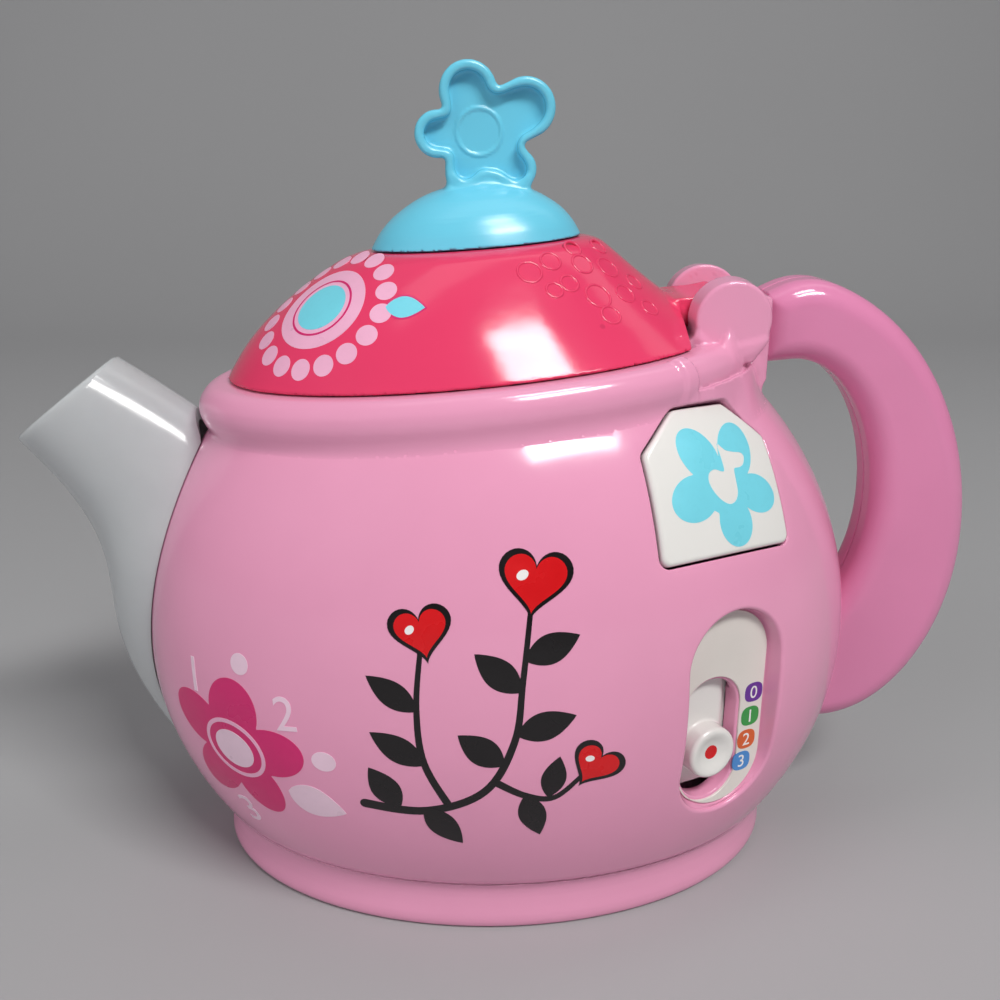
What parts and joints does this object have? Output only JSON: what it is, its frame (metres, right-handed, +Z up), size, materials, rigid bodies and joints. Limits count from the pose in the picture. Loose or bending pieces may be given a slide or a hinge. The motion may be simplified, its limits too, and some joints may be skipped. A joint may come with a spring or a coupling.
{
  "type": "toy teapot",
  "caption": "Oval pretend-play teapot with a tilted hinged lid, looped handle, lit spout, tag-shaped push button and slide switch.",
  "frame": {"origin": "on the floor, under the middle of the foot", "axes": "+X towards the handle, -X towards the spout, -Y is the decorated front, +Z up"},
  "size_m": [0.2267, 0.1192, 0.1867],
  "materials": {
    "pink_plastic": "moulded gloss",
    "lid_plastic": "moulded gloss, darker pink",
    "knob_plastic": "moulded gloss, blue",
    "spout_plastic": "milky translucent, smooth",
    "white_plastic": "moulded gloss, white",
    "steel": "plated",
    "cell_jacket": "plain printed jacket",
    "dark_plastic": "moulded matte",
    "speaker_black": "pressed frame and paper cone",
    "led_clear": "clear epoxy",
    "board_green": "solder mask",
    "rubber": "silicone, soft",
    "wire_red": "insulated wire"
  },
  "bodies": {
    "pot": {"front_shell": "pink_plastic", "rear_shell": "pink_plastic", "handle_front_half": "pink_plastic", "handle_rear_half": "pink_plastic", "handle_screws": "steel", "housing_screws": "steel", "base": "pink_plastic", "base_screws": "steel", "battery_door": "pink_plastic", "battery_door_screw": "steel", "batteries": "cell_jacket", "battery_contacts": "steel", "rim_collar": "pink_plastic", "collar_screws": "steel", "inner_bowl": "pink_plastic", "hinge_pin": "steel", "lid_switch": "dark_plastic", "spout": "spout_plastic", "spout_clip": "white_plastic", "spout_led": "led_clear", "led_board": "board_green", "tag_rubber_dome": "rubber", "tag_board": "board_green", "switch_label": "white_plastic", "slide_switch": "dark_plastic", "switch_board": "board_green", "circuit_board": "board_green", "sound_chip": "dark_plastic", "board_screws": "steel", "speaker": "speaker_black", "speaker_clamp": "white_plastic", "wiring": "wire_red"},
    "lid": {"lid": "lid_plastic", "lid_knob": "knob_plastic", "knob_screw": "steel"},
    "tag_button": {"tag_button": "white_plastic"},
    "slider": {"slider_knob": "white_plastic"},
    "lid_plunger": {"lid_plunger": "white_plastic"}
  },
  "joints": [
    {"name": "lid_hinge", "type": "hinge", "parent": "pot", "child": "lid", "pos_m": [0.0497, 0, 0.1333], "axis": [0, 1, 0], "range_deg": [0, 100]},
    {"name": "tag_press", "type": "slide", "parent": "pot", "child": "tag_button", "axis": [-0.4057, 0.788, -0.4631], "range_m": [0, 0.002], "stiffness_N_per_m": 400, "deforming": ["tag_rubber_dome"]},
    {"name": "mode_slide", "type": "slide", "parent": "pot", "child": "slider", "axis": [-0.0011, 0.0025, 1], "range_m": [-0.0054, 0.0108]},
    {"name": "plunger_rise", "type": "slide", "parent": "pot", "child": "lid_plunger", "axis": [0, 0, 1], "range_m": [0, 0.0015]}
  ],
  "couplings": [
    {"joint": "plunger_rise", "follows": "lid_hinge", "m_per_rad": 0.000859}
  ]
}
